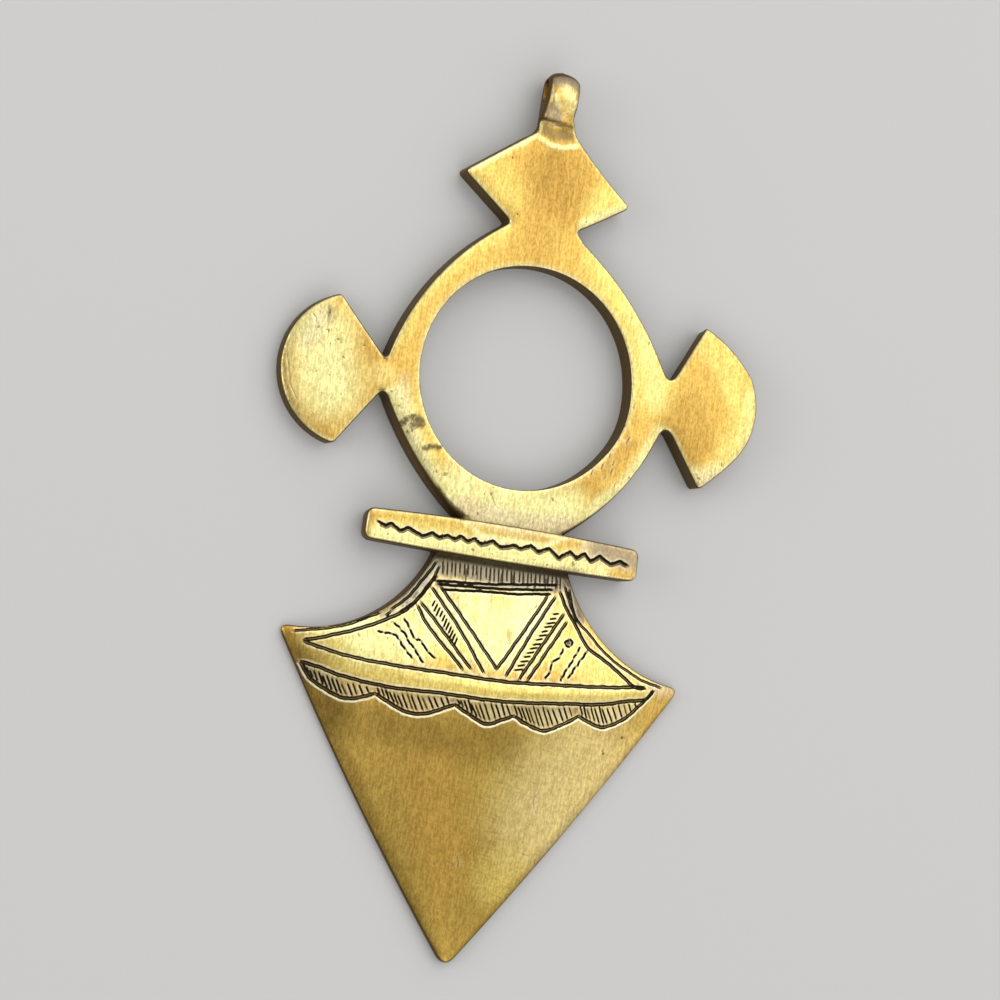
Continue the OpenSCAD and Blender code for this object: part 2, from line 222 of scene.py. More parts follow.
LOOP_RIDGE = [(-1.7, 30.2), (-1, 29.4), (-0.3, 28.9)]
CREST_ROLL = [
    (-20, -32.3), (-16.6, -32.9), (-13.4, -33.3), (-9.7, -33.5), (-5.5, -33.45),
    (1.8, -33.45), (8.5, -32.85), (13.3, -32.4), (17.5, -31.6), (19, -31.3),
]

# Cuts of the graver: half width, depth, and 1 where a broad cut has a bright floor
cut_step = 0.05
TOP_BORDER_CUT = (0.13, 0.11, 1)
BORDER_CUT = (0.175, 0.15, 1)
PANEL_CUT = (0.16, 0.14, 1)
TOP_LINE_CUT = (0.12, 0.12)
DASH_CUT = (0.1, 0.12)
ZIGZAG_CUT = (0.11, 0.13)
ZIGZAG_SLIP = (0.15, 0.05)
zigzag_shift = (-0.05, 0.24)
SCRATCH_CUT = (0.07, 0.03)
STREAK_CUT = (0.055, 0.04)
SCALLOP_RIDGE = (0.12, -0.05)
LOOP_RIDGE_CUT = (0.5, -0.05)

# A hand's waver as lengths and shares of its waves, and its uneven pressure
WAVER = [(0.55, 0.3), (1.3, 0.6), (3.1, 0.7)]
press_sway = 0.18
press_pitch = 4.3

# Strokes in the scallops: their spacing, and their gaps to the line above and below
stroke_pitch = 0.53
roof_gap = 0.22
foot_gap = 0.25

# Soil and burrs: how far black reaches past a cut, the depth that holds it fully, how wide
# and high the burrs beside the cut are, how strong the painted highlight on them is, the depth
# that makes that highlight full, and how far from its middle a cut can be felt
soil_reach = 0.07
soil_fade = 0.06
soil_depth = 0.08
burr_w = 0.22
burr_h = 0.18
burr_shine = 0.5
burr_depth = 0.12
cut_reach = 0.5

# Wear: thin scratches as points on the way, short streaks with their lengths, and pits
# with their diameters, their depth as a share of that, and the soil in them
SCRATCHES = [
    [(-26.4, -1.3), (-26.1, -2.8), (-25.5, -4.9), (-24.6, -6.4)],
    [(-24.3, 3), (-23.9, 2.6), (-23.9, 2)], [(7.75, -43.4), (7.2, -44.6), (7.9, -46.1)],
    [(3.8, -48), (4.4, -48.4), (5, -47.6)], [(9.2, -39.6), (9.4, -40.5)],
    [(6.6, -50.1), (7.7, -50.4)], [(-0.4, -51.5), (-0.2, -52.6)],
    [(-2.4, -12.6), (-1.7, -13.9), (-1, -14.4)],
]
STREAKS = [
    (12.4, -1.3, 0.3), (11.75, -3.5, 0.5), (12.2, -5.3, 0.9), (9.1, -6.7, 0.6), (8.2, -7.5, 0.4),
    (10.4, -7, 0.6), (10.9, -7.8, 0.6), (9.7, -8.4, 0.7), (10.8, -8.8, 0.8), (8.6, -9.1, 0.6),
    (11.4, -10.1, 0.6), (10.2, -9.4, 0.4), (13.3, 5.8, 0.5), (12.3, 6.2, 0.3),
]
PITS = [
    (-22.6, 1.5, 0.24), (-21.25, 0.7, 0.36), (-20.9, 0.4, 0.2), (-18.4, 0.5, 0.26),
    (-24.85, -2.9, 0.2), (-23, -3.3, 0.2), (-20.4, -1.9, 0.2), (-18.9, -5.1, 0.2),
    (-20, -3.4, 0.14), (-23.8, -4.6, 0.16), (-22.4, 2, 0.16), (-4.9, 23.1, 0.3),
    (4.1, 24, 0.22), (4.8, 20.7, 0.2), (2.65, 19, 0.2), (-3.5, 17.2, 0.26),
    (16.7, -36.5, 0.5), (14.7, -38.5, 0.42), (14.5, -38.2, 0.26), (4, 14.8, 0.2),
    (8.72, -27.3, 0.5), (11, -27.9, 0.3), (11, 8.4, 0.22), (-13.3, -16.9, 0.2),
    (-11.7, -16.85, 0.16), (-14.4, -17.1, 0.2), (-9.4, -16.75, 0.16), (-14.2, -31.3, 0.15),
]
pit_depth = 0.16
pit_soil = 0.6

# Painted colour from the loop to the tip: patina and wear, and also painted highlights,
# reflections and shade. Each patch: its reach, its strength, and points along its middle.
PATINA_AND_LIGHT = {"smoke_and_shade": [
    # Grey-brown patina on the neck, the bar's right end and the borders by the neck. On the loop's
    # crown, crease and hollow it is painted shade, and the grey patch below its ridge is a painted
    # reflection.
    (1.6, 1, [(-1.6, 32.6), (-0.4, 33.1), (1.4, 32.4)]), (0.5, 0.6, [(-2, 31.4), (-2.1, 28)]),
    (0.9, 0.5, [(-1.2, 29), (-0.7, 28.3)]), (0.4, 0.3, [(-1.9, 27.7), (-0.4, 27.5), (1.2, 27.4)]),
    (0.7, 0.35, [(-1.7, 26.8), (-0.4, 26.4), (1.2, 26.6)]),
    (1.6, 0.6, [(10.4, -16.9), (14.8, -17.6)]),
    (1.5, 1, [(-7.5, -20.9), (0, -21.2), (8.2, -20.7)]),
    (0.5, 0.9, [(-6.6, -23.1), (6.6, -21.8)]),
    (0.9, 1, [(8.1, -20.4), (8.6, -22.6), (9.7, -24.5)]),
    (0.9, 1, [(-7.4, -20.6), (-8.4, -23), (-10, -25.3)]),
    (0.6, 0.5, [(-9.4, -24.8), (-12.2, -27.2)]),
    (0.5, 0.35, [(9.8, -25.2), (12.6, -28.6), (16.6, -30.4)]),
], "grime_and_shade": [
    # Dark patina. In the notches beside the left paddle and in the corner where the ring meets the
    # bar it is painted shade.
    (0.4, 0.5, [(-22.6, 3.9), (-22.2, 2.4)]), (0.28, 0.8, [(-16.1, -0.3), (-15.8, -0.5)]),
    (0.28, 0.8, [(-16, -3.9), (-15.7, -3.7)]),
    (0.35, 0.4, [(-26.8, 0.4), (-26.5, -3.4), (-25.1, -6.8), (-23, -9.4)]),
    (0.42, 0.95, [(-13.2, -7), (-12.7, -6.4), (-11.9, -6.1), (-11.1, -6.3)]),
    (0.5, 0.9, [(-12.1, -7), (-11, -6.8)]), (0.3, 0.7, [(-12.4, -7.7), (-12, -7.2)]),
    (0.34, 1, [(-10.3, -9.2), (-9.7, -8.9), (-8.7, -8.9)]),
    (0.35, 0.35, [(-15.6, -4.2), (-13.8, -8.3), (-11.1, -11.9), (-8.1, -14.1)]),
    (0.7, 1, [(-8.3, -13.5), (-7, -15), (-5.4, -15.6)]),
    (0.8, 0.5, [(-7, -20.6), (0.4, -20.6), (7.8, -20.4)]),
    (1.3, 0.3, [(-6.6, -21.6), (6.9, -21)]),
    (0.8, 0.55, [(7.9, -20.9), (8.5, -22.8), (9.3, -24.4)]),
    (0.8, 0.55, [(-7.5, -21), (-8.5, -23.2), (-9.8, -25)]),
    (0.3, 1, [(8.8, -27.2), (8.5, -27.5)]),
], "satin_and_reflection": [
    # Pinkish-grey film. On the loop below its ridge and on the ring's lower band it is painted
    # reflection.
    (0.9, 0.9, [(-1.5, 28.7), (-0.7, 28.2)]), (1.2, 0.6, [(-23, 3.2), (-24.4, 0.2)]),
    (1, 0.5, [(-13.6, -2.4), (-13.4, -4.2), (-12.4, -7), (-9, -12.6)]),
    (1.2, 0.7, [(19.6, -8.6), (22.4, -7.4)]), (1.5, 0.9, [(-5.4, -14.8), (1, -15.5), (7.1, -15)]),
    (1.4, 0.9, [(9.2, -16.9), (14.6, -17.7)]), (1, 0.8, [(19.8, -30.7), (22, -30.6)]),
    (7, 0.45, [(12.4, -39.6), (9, -45.6)]),
], "amber": [
    # Darker golden-brown tone. The darker middles of the head and the right paddle, the lower half
    # of the crest roll and the band down the left of the lower blade are painted shade.
    (4.6, 1, [(0, 22.2), (0.6, 20.6)]), (2.6, 0.5, [(-0.4, 17.6), (-0.6, 14)]),
    (1.4, 0.9, [(-21, 5.6), (-19, 2.8), (-16.8, -0.2)]), (3, 0.7, [(18.2, -0.8), (19.8, -4.4)]),
    (1.2, 0.25, [(-26.8, -0.5), (-26.2, -4.4), (-24.4, -7.6), (-21.4, -9.6)]),
    (1.6, 0.5, [(12, -5.4), (8.4, -9.4), (4, -11.8)]),
    (0.7, 0.7, [(-15.2, -17.6), (-15, -16.4), (0, -16.5), (12, -16.4)]),
    (1, 0.6, [(5.4, -31.6), (9, -31.4), (14, -31)]),
    (1.8, 0.8, [(-22, -30.4), (-20.6, -33), (-18, -36.4)]),
    (0.5, 0.7, [(-16.6, -33.9), (-9.7, -34.4), (1.8, -34.4), (10, -33.7), (17, -32.4)]),
    (3.4, 0.6, [(-5, -42.4), (-4, -47), (-1.6, -52.6)]),
], "pale": [
    # Lighter worn brass, and painted highlight: on the left-facing bevels of the head and the
    # ring, on the engraved panel, on the upper half of the crest roll and down the right of the
    # lower blade.
    (3, 0.5, [(-8.4, 20.9), (-5.4, 19.2)]), (2.6, 0.9, [(9.2, 20.4), (6.4, 19.6)]),
    (0.6, 1, [(-9.6, 20.6), (-5.6, 17.4), (-4.6, 16.2)]),
    (1.4, 0.8, [(-15, 2), (-12, 8.8), (-8, 13.2), (-5.2, 15.4)]),
    (3, 1, [(7.4, 13.2), (12.6, 7.4), (14.2, 1)]),
    (1.8, 0.9, [(19.6, 7.4), (22.8, 4.8), (25.4, 0), (24, -5)]),
    (2.2, 0.9, [(-13.6, -5), (-11.8, -8.8), (-9.4, -11.8)]),
    (2.2, 0.7, [(-12.8, -18.2), (-4, -18.3), (8.6, -18.6)]),
    (3.4, 1, [(-17.4, -30.2), (-10, -28.8), (9, -27.6), (17, -30.3)]),
    (1.3, 0.9, [(-16.6, -32.8), (-9.7, -33.6), (1.8, -33.6), (12.2, -32.7), (18.6, -31.3)]),
    (8, 0.75, [(12.6, -40.6), (9.4, -45)]), (3.6, 0.55, [(7.6, -47.6), (4.6, -53)]),
], "cream": [
    # Palest tone: worn brass on the left paddle; elsewhere painted highlight, on the loop, on the
    # rim below its hollow, along the rims of head, ring and paddles, on the ring's bottom band, on
    # the bar's lower band and on the engraved panel.
    (0.9, 0.8, [(-0.2, 31.2), (0.8, 29.6)]), (0.3, 1, [(-1.5, 30.4), (-0.8, 29.3)]),
    (0.32, 1, [(-2.5, 26.1), (-1, 25.3), (0.5, 25.2), (2.2, 25.7)]),
    (0.6, 0.9, [(9.4, 20.6), (5.4, 24.2), (2.6, 26.7)]),
    (0.4, 1, [(-9.4, 21), (-5.9, 23.7), (-2.6, 26)]),
    (0.9, 1, [(9.4, 20), (6.2, 18.6), (4.3, 17.4)]),
    (1.4, 0.4, [(11, 9.6), (14.4, 3), (14.8, 0)]), (1, 0.45, [(25, -4.6), (26.3, -1), (26, 2.2)]),
    (4.1, 1, [(-23.2, 0.8), (-21.6, -4.2)]), (1.5, 0.3, [(-20.2, -2.4), (-16, -2.2)]),
    (1.5, 0.9, [(20.4, -7.8), (22.4, -7.4), (23.4, -6.6)]),
    (1, 0.9, [(15.9, -3.4), (12.9, -9.4), (8.7, -13.4)]),
    (1.5, 1, [(-14.2, -4.2), (-12.2, -8.8), (-9.4, -12), (-6.2, -14)]),
    (2.8, 1, [(-6.6, -12.6), (-3, -13.6), (1.4, -13.8), (6.4, -13.2)]),
    (1.6, 0.95, [(-14, -19.1), (-4, -19.2), (10.6, -19.4)]),
    (3.6, 0.9, [(-3, -24.8), (0.3, -27.8), (3.8, -24.2)]),
    (3, 0.9, [(-13.8, -30), (-9, -29.4), (-6.8, -26.4)]),
    (2, 0.2, [(6.4, -27.8), (9.2, -28.6), (12.4, -29.6)]),
    (0.5, 0.25, [(-9.7, -33), (1.8, -33), (12.2, -32.1), (18.6, -30.9)]),
], "olive": [
    # The lower blade darkened towards olive: painted shade.
    (17, 1, [(0, -44), (0, -50)]),
], "umber": [
    # Brown stains. The darkening in the loop's hollow, below the crest roll, on the blade's left
    # below the scallops and along the blade's edges is painted shade.
    (0.9, 0.9, [(-1.7, 26.9), (-0.4, 26.6), (1.2, 26.8)]),
    (0.7, 0.6, [(-7.7, -21.4), (-9.6, -24.9), (-12, -27)]),
    (0.6, 0.35, [(-4.9, -24.2), (-3.9, -25.4)]), (0.5, 0.35, [(1.8, -27.2), (2.2, -28.4)]),
    (2.2, 0.3, [(16, -35.8), (20.6, -32.2)]),
    (0.4, 0.35, [(-18, -34.4), (-9.7, -34.6), (2, -34.7), (10, -33.9), (16, -33)]),
    (0.55, 0.45, [(-18, -33.9), (-8, -35.1), (3, -35), (12, -34.2)]),
    (4, 0.9, [(-20.6, -34.6), (-16.6, -38.6)]), (2.4, 0.5, [(-14, -38.2), (-5, -39.2), (3, -39)]),
    (0.6, 0.5, [(21.6, -32.6), (12.1, -46.2), (0.8, -62.8)]),
    (1, 0.5, [(-16.6, -39), (-10.9, -47.4), (-1.4, -62)]),
]}
# Painted layers, patina and painted light, in the order in which they lie: kind, raggedness and
# strength
PATCHES = [
    ("olive", 0.4, 0.95), ("amber", 0.9, 0.9), ("pale", 0.8, 0.9), ("cream", 0.8, 0.95),
    ("umber", 1.2, 0.9),
]
# Where a patch starts to fade and where it ends, as shares of its reach
patch_fade = (0.25, 1.35)
# How far below its face the front reaches, and the least upward part of its normals
front_depth = 0.75
front_up = 0.25

# Colours of the brass, of its wear and patina, of the soil on it, and of the highlights,
# reflections and shade painted on it
COLOURS = {
    "gold": (0.74, 0.47, 0.11), "light_gold": (0.80, 0.52, 0.13),
    "olive": (0.43, 0.285, 0.062), "amber": (0.50, 0.295, 0.066),
    "pale": (0.88, 0.70, 0.20), "cream": (1, 0.93, 0.42), "umber": (0.21, 0.135, 0.028),
    "worn": (1, 0.91, 0.46), "satin_and_reflection": (0.74, 0.60, 0.40),
    "brush_light": (1.04, 1.04, 1.03), "brush_dark": (0.68, 0.65, 0.56),
    "score": (0.30, 0.19, 0.04), "smoke_and_shade": (0.31, 0.25, 0.165), "grime_and_shade": (0.13, 0.10, 0.05),
    "speck": (0.16, 0.09, 0.02), "burr_highlight": (1, 0.97, 0.70), "wall": (0.10, 0.058, 0.015),
    "ink": (0.022, 0.014, 0.006), "floor": (0.52, 0.51, 0.49), "sky": (0.95, 0.97, 1),
}

# Camera, and the lights: place, width and height, and power. All face the origin.
CAMERA_PLACE = (-122.551, -29.740, 353.350)
CAMERA_TURN = (2.146, -19.552, 7.955)
sensor_w = 36
focal_length = 126
LAMPS = {
    "key": ((180, 396, 414), (900, 700), 2.5),
    "above": ((110, -30, 640), (560, 420), 0.42),
    "front": ((90, -420, 420), (500, 300), 0.6),
    "right": ((520, -90, 300), (400, 400), 0.4),
    "left": ((-520, 40, 200), (420, 280), 1.0),
}
sky_strength = 0.55
floor_half = 900
floor_rough = 0.85

# How finely the skin is divided, and where
GRID_X = (-27.5, 27.5)
GRID_Y = (-63.4, 34)
EDGE_ROWS = (0.08, 0.25, 0.5, 0.75, 1, 1.6)
# Boxes of fine detail, as least and largest x, then y: blade, bar, and loop with its foot
FINE_BOXES = [(-30, 30, -38.2, -19.8), (-15, 15, -19, -17), (-3.8, 3, 24.8, 40)]
edge_step = 0.24
plain_step = 0.42
fine_step = 0.24
back_step = 1.3
loop_step = 0.3
loop_low = 30.5
foot_step = 0.03
wall_rows = 5

# How far points keep from the outlines, from the cuts and from each other
cut_clear = 0.1
fine_clear = 0.3
plain_clear = 0.6
grid_clear = 0.16
back_clear = 0.25
least_gap = 0.055


def lengths(line):
    """Way along a polyline up to each of its points."""
    return np.concatenate([[0], np.cumsum(np.hypot(*np.diff(line, axis=0).T))])


def spaced(line, step, least=3):
    """The same polyline with evenly spaced points."""
    gone = lengths(line)
    stops = np.linspace(0, gone[-1], max(least, round(gone[-1] / step) + 1))
    return np.stack([np.interp(stops, gone, line[:, k]) for k in (0, 1)], 1)


def edge_points(a, b, radius, step):
    """Points from a up to b, b left out. A radius above 0 bulges to the right."""
    a, b = np.array(a, float), np.array(b, float)
    chord = b - a
    length = float(np.hypot(*chord))
    count = max(1, round(length / step))
    t = np.arange(count) / count
    if radius == 0:
        return a + t[:, None] * chord
    left = np.array([-chord[1], chord[0]]) / length
    reach = math.sqrt(radius**2 - length**2 / 4)
    centre = (a + b) / 2 + left * math.copysign(reach, radius)
    start = math.atan2(*(a - centre)[::-1])
    sweep = 2 * math.asin(length / 2 / abs(radius)) * math.copysign(1, radius)
    turn = start + sweep * t
    return centre + abs(radius) * np.stack([np.cos(turn), np.sin(turn)], 1)


def trim(points, length):
    """Drops the first stretch of that length from a polyline."""
    gone = lengths(points)
    length = min(length, gone[-1] * 0.49)
    start = [np.interp(length, gone, points[:, i]) for i in (0, 1)]
    return np.concatenate([[start], points[gone > length + 1e-6]])


def outline(corners):
    """Closed outline with rounded corners, as an array of points."""
    n = len(corners)
    edges = []
    for i, (x, y, _, radius) in enumerate(corners):
        end = corners[(i + 1) % n][:2]
        edges.append(np.concatenate([edge_points((x, y), end, radius, edge_step / 4), [end]]))
    for i, (x, y, rounding, _) in enumerate(corners):
        if rounding == 0:
            continue
        before, after = edges[i - 1], edges[i]
        u = before[-1] - before[-2]
        v = after[1] - after[0]
        turn = abs(math.atan2(u[0] * v[1] - u[1] * v[0], u @ v))
        cut = rounding * math.tan(turn / 2)
        edges[i - 1] = trim(before[::-1], cut)[::-1]
        edges[i] = trim(after, cut)
    points = []
    for i, (x, y, rounding, _) in enumerate(corners):
        if rounding > 0:
            a, c, b = edges[i - 1][-1], np.array([x, y]), edges[i][0]
            t = np.linspace(0, 1, 9)[1:-1, None]
            points.append((1 - t) ** 2 * a + 2 * t * (1 - t) * c + t**2 * b)
        run = spaced(edges[i], edge_step, 2)
        points.append(run if rounding > 0 or i == 0 else run[1:])
    points = np.concatenate(points)
    keep = np.hypot(*(points - np.roll(points, 1, 0)).T) > edge_step * 0.12
    return points[keep]


def window_outline():
    n = round(2 * math.pi * window_r / edge_step)
    turn = np.arange(n) * 2 * math.pi / n
    away = (turn - window_bulge_dir + math.pi) % (2 * math.pi) - math.pi
    r = window_r + window_bulge * np.exp(-((away / 0.3) ** 2))
    return np.stack([r * np.cos(turn), r * np.sin(turn)], 1)


def planted(points):
    """Search tree of points in the drawing's plane."""
    tree = KDTree(len(points))
    for i, p in enumerate(points):
        tree.insert((p[0], p[1], 0), i)
    tree.balance()
    return tree


def distance(points, line, closed=True):
    """Distance of each point from a finely divided polyline."""
    n = len(line)
    tree = planted(line)
    near = np.array([tree.find((x, y, 0))[1] for x, y in points])
    best = np.full(len(points), np.inf)
    for shift in (-1, 0):
        i = (near + shift) % n if closed else np.clip(near + shift, 0, n - 2)
        a, b = line[i], line[(i + 1) % n]
        ab = b - a
        t = ((points - a) * ab).sum(1) / np.maximum((ab**2).sum(1), 1e-12)
        gap = points - a - np.clip(t, 0, 1)[:, None] * ab
        best = np.minimum(best, np.hypot(*gap.T))
    return best


def inside(points, line):
    """Whether each point lies inside a closed outline."""
    a, b = line, np.roll(line, -1, 0)
    out = np.empty(len(points), bool)
    slope = (b[:, 0] - a[:, 0]) / np.where(b[:, 1] == a[:, 1], 1, b[:, 1] - a[:, 1])
    for i in range(0, len(points), 4000):
        x, y = points[i : i + 4000, 0, None], points[i : i + 4000, 1, None]
        crosses = (a[:, 1] > y) != (b[:, 1] > y)
        left = x < a[:, 0] + (y - a[:, 1]) * slope
        out[i : i + 4000] = (crosses & left).sum(1) % 2
    return out


def normals(line, closed=True):
    """Unit vectors to the left of a polyline at each point."""
    if closed:
        way = np.roll(line, -1, 0) - np.roll(line, 1, 0)
    else:
        way = np.gradient(line, axis=0)
    way /= np.maximum(np.hypot(*way.T)[:, None], 1e-9)
    return np.stack([-way[:, 1], way[:, 0]], 1)


def line_distance(points, line):
    """Distance of each point from a short polyline of a few points."""
    line = np.array(line, float)
    best = np.full(len(points), np.inf)
    for a, b in zip(line, line[1:]):
        ab = b - a
        t = np.clip(((points - a) @ ab) / (ab @ ab), 0, 1)
        best = np.minimum(best, np.hypot(*(points - a - t[:, None] * ab).T))
    return best


plate_line = outline(PLATE)
bar_line = outline(BAR)
blade_line = outline(BLADE)
window_line = window_outline()


def smooth(x, low, high):
    """0 below low, 1 above high, and an even S between them."""
    t = np.clip((x - low) / (high - low), 0, 1)
    return t * t * (3 - 2 * t)


def shoulder(depth, radius):
    """How far a rounded edge lies below its face, at a depth inside the outline."""
    t = np.clip(1 - depth / radius, 0, 1)
    return radius * (1 - np.sqrt(np.maximum(1 - t * t, 0)))


def crown(y):
    """Half the loop's depth at y, where it turns over its top."""
    over = np.clip(y - loop_y, 0, loop_r)
    return np.sqrt(loop_r**2 - over**2)


def back_face(x, y):
    return loop_r - crown(y)


def loop_foot(x, y):
    """What the crease, the strap above it and the hollow below it add to the plate."""
    crease = crease_y - crease_lean * (x - loop_mid_x)
    rise = smooth(y, crease - crease_w, crease + 2.5 * crease_w)
    strap = strap_step + strap_rise * smooth(y, strap_low, strap_high)
    rim = rim_y + rim_bend * (x - rim_mid_x) ** 2
    dip = np.clip((y - rim) / np.maximum(crease - rim, crease_w), 0, 1)
    dip = dip * (y < hollow_top + 3.5 * crease_w)
    bead = rim_h * np.exp(-(((y - rim + rim_w / 2) / rim_w) ** 2))
    hollow = bead - hollow_t * dip**1.2
    near = (y > foot_low) & (np.abs(x - loop_mid_x) < foot_half)
    return np.where(near, hollow * (1 - rise) + strap * rise, 0)


def plate_face(x, y):
    """Front height of head, ring and paddles, before their edges are rounded."""
    z = np.full(len(x), plate_t)
    at_left = np.abs(y - left_mid_y) < left_half
    z -= left_fall * np.clip((left_neck_x - x) / left_run, 0, 1) * at_left
    z -= band_fall * np.clip((band_top - y) / band_run, 0, 1) * (np.abs(x) < band_half)
    return z + loop_foot(x, y) - (loop_r - crown(y))


def bar_face(x, y):
    return np.full(len(x), bar_t)


def blade_face(x, y):
    """The tilted panel and the cone round the tip, joined by the crest."""
    panel = neck_t + (crest_t - neck_t) / (bar_low - crest_y) * (bar_low - y)
    panel = panel - x**2 / (2 * panel_r)
    side = math.sqrt(sum(c * c for c in cone_side))
    dip = math.atan(
        (math.cos(cone_rise) - cone_side[1] / side)
        / (math.sin(cone_rise) - cone_side[2] / side)
    )
    ca, sa, ch = math.cos(dip), math.sin(dip), math.cos(dip + cone_rise)
    v = y - cone_y
    qa = sa**2 - ch**2
    qb = -2 * ca * sa * v
    qc = ca**2 * v**2 - ch**2 * (x**2 + v**2)
    root = np.sqrt(np.maximum(qb**2 - 4 * qa * qc, 0))
    cone = tip_t + (-qb - root) / (2 * qa)
    blend = np.clip(0.5 + 0.5 * (cone - panel) / crest_blend, 0, 1)
    face = cone * (1 - blend) + panel * blend - crest_blend * blend * (1 - blend)
    roll = distance(np.column_stack([x, y]), curve(CREST_ROLL), closed=False) / roll_half
    return face + roll_h * np.clip(1 - roll**2, 0, 1) ** 2


def curve(points):
    """Evenly spaced points on a smooth curve through the given ones."""
    p = np.array(points, float)
    p = np.concatenate([2 * p[:1] - p[1:2], p, 2 * p[-1:] - p[-2:-1]])
    t = np.linspace(0, 1, 13)[:-1, None]
    runs = [
        (2 * b + (c - a) * t + (2 * a - 5 * b + 4 * c - d) * t**2
         + (3 * b - a - 3 * c + d) * t**3) / 2
        for a, b, c, d in zip(p, p[1:], p[2:], p[3:])
    ]
    return spaced(np.concatenate(runs + [p[-2:-1]]), cut_step)


def beside(line, gap):
    """The line moved to its left."""
    return line + normals(line, closed=False) * gap


def by_hand(line, amount):
    """The waver of a hand-held graver, across an evenly spaced line."""
    along = np.arange(len(line)) * cut_step
    sway = sum(
        np.sin(2 * math.pi * (along / length + rng.random())) * share
        for length, share in WAVER
    )
    return line + normals(line, closed=False) * (amount * sway)[:, None]


def cut(line, half, deep, floor=0, waver=0.025):
    """Notes one cut of the graver: its line, half its width, its depth and its floor.

    A floor of 1 is a broad cut with a bright floor, and a depth below 0 is a ridge."""
    line = by_hand(line, waver)
    CUTS.append((line, half, deep, floor))
    return line


def dashes(line):
    """A row of short cuts of uneven length along a line."""
    at = 0
    while at < len(line) - 5:
        dash = int(rng.integers(12, 26))
        cut(line[at : at + dash], *DASH_CUT, waver=0.06)
        at += dash + int(rng.integers(2, 5))


def hatch(guide, gap, reach, lean, half, deep):
    """Short strokes that start along a line."""
    line = curve(guide)
    for at in np.arange(0.3, cut_step * len(line) - 0.3, gap):
        at = at + rng.uniform(-0.07, 0.07)
        x, y = line[min(int(at / cut_step), len(line) - 1)]
        length = reach * rng.uniform(0.7, 1.1)
        end = (x + length * lean[0], y + length * lean[1])
        cut(spaced(np.array([(x, y), end]), cut_step), half, deep, waver=0.01)


def scallop_strokes(scallop):
    """Slanting strokes between one scallop and the line above it."""
    line = curve(scallop)
    roofs = np.interp(line[:, 0], *np.array(SCALLOP_ROOF).T) - roof_gap
    for at in np.arange(line[0, 0] + 0.5, line[-1, 0] - 0.3, stroke_pitch):
        k = int(np.searchsorted(line[:, 0], at + rng.uniform(-0.05, 0.05)))
        x, y = line[k]
        room = roofs[k] - y - foot_gap
        if room > 0.25:
            foot = y + foot_gap
            start = (x - 0.5 * room, foot + room * rng.uniform(0.75, 1))
            deep = rng.uniform(0.05, 0.1)
            cut(spaced(np.array([start, (x, foot)]), cut_step), 0.075, deep, waver=0.012)


def engraving():
    """Every cut on the bar and the blade, and the scratches, in a fixed order."""
    for points in BORDER_TOP:
        cut(curve(points), *TOP_BORDER_CUT)
    for points in BORDER:
        cut(curve(points), *BORDER_CUT)
    for points in SCALLOPS:
        line = cut(curve(points), *BORDER_CUT)
        cut(beside(line, -0.34), *SCALLOP_RIDGE, waver=0.01)
    for points in TOP_LINES:
        cut(curve(points), *TOP_LINE_CUT)
    for points in PANEL:
        cut(curve(points), *PANEL_CUT)
    for points in FIELD:
        dashes(curve(points))
    zigzag = spaced(np.array(ZIGZAG), cut_step)
    cut(zigzag, *ZIGZAG_CUT, waver=0.03)
    cut(zigzag - zigzag_shift, *ZIGZAG_SLIP, waver=0.03)
    for row in HATCHES:
        hatch(*row)
    for points in SCALLOPS:
        scallop_strokes(points)
    for points in SCRATCHES:
        cut(curve(points), *SCRATCH_CUT, waver=0.03)
    for x, y, length in STREAKS:
        end = (x + 0.25 * length, y + length)
        cut(spaced(np.array([(x, y), end]), cut_step), *STREAK_CUT, waver=0.02)
    cut(curve(LOOP_RIDGE), *LOOP_RIDGE_CUT, waver=0.01)


def thinned(points, gap):
    """Leaves out each point that lies too close to an earlier one."""
    tree = planted(points)
    keep = np.ones(len(points), bool)
    for i, p in enumerate(points):
        if keep[i]:
            for _, j, _ in tree.find_range((*p, 0), gap):
                if j > i:
                    keep[j] = False
    return points[keep]


CUTS = []
engraving()
PARTS = [
    # outline, face, radius of the rounded edge, depth and width of the fall inside it
    (plate_line, plate_face, *PLATE_EDGE),
    (bar_line, bar_face, *BAR_EDGE),
    (blade_line, blade_face, *BLADE_EDGE),
]


def cut_samples():
    """Close points along every cut: place, half width, depth, floor and cut number."""
    rows = []
    for k, (line, half, deep, floor) in enumerate(CUTS):
        along = np.arange(len(line)) * cut_step
        ends = min(0.4, 0.2 * along[-1])
        taper = 0.4 + 0.6 * smooth(np.minimum(along, along[::-1]), 0, ends)
        press = 1 + press_sway * np.sin(along * press_pitch + rng.random() * 6) * rng.random()
        width = half * press * (0.6 + 0.4 * taper)
        flat = np.full(len(line), floor), np.full(len(line), k)
        rows.append(np.column_stack([line, width, deep * taper, *flat]))
    return np.concatenate(rows)


SAMPLES = cut_samples()


